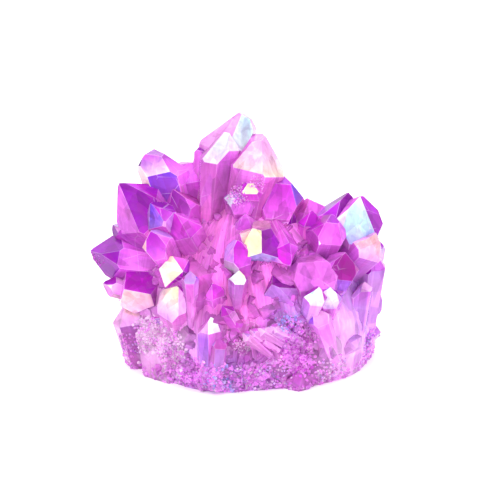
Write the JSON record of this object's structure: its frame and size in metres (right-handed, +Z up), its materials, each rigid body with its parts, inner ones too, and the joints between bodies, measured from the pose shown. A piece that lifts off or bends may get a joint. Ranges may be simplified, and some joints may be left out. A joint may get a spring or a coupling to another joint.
{
  "type": "aura quartz crystal cluster",
  "caption": "Free-standing cluster of pointed quartz crystals with a violet-pink iridescent coating, cut off flat below to rest on a shelf.",
  "frame": {"origin": "middle of the cluster's box, on the flat cut that it rests on", "axes": "+Z up, +X to the right along the cluster's longest side, and the front faces -Y"},
  "size_m": [0.069, 0.0476, 0.0583],
  "materials": {
    "aura_quartz": "Clear to milky quartz, vapour-coated with a thin metal film that shows violet and pink with pale gold, peach, lavender and cyan-white facets; rough and druzy at the foot"
  },
  "bodies": {
    "root": {"quartz_cluster": "aura_quartz"}
  },
  "joints": []
}
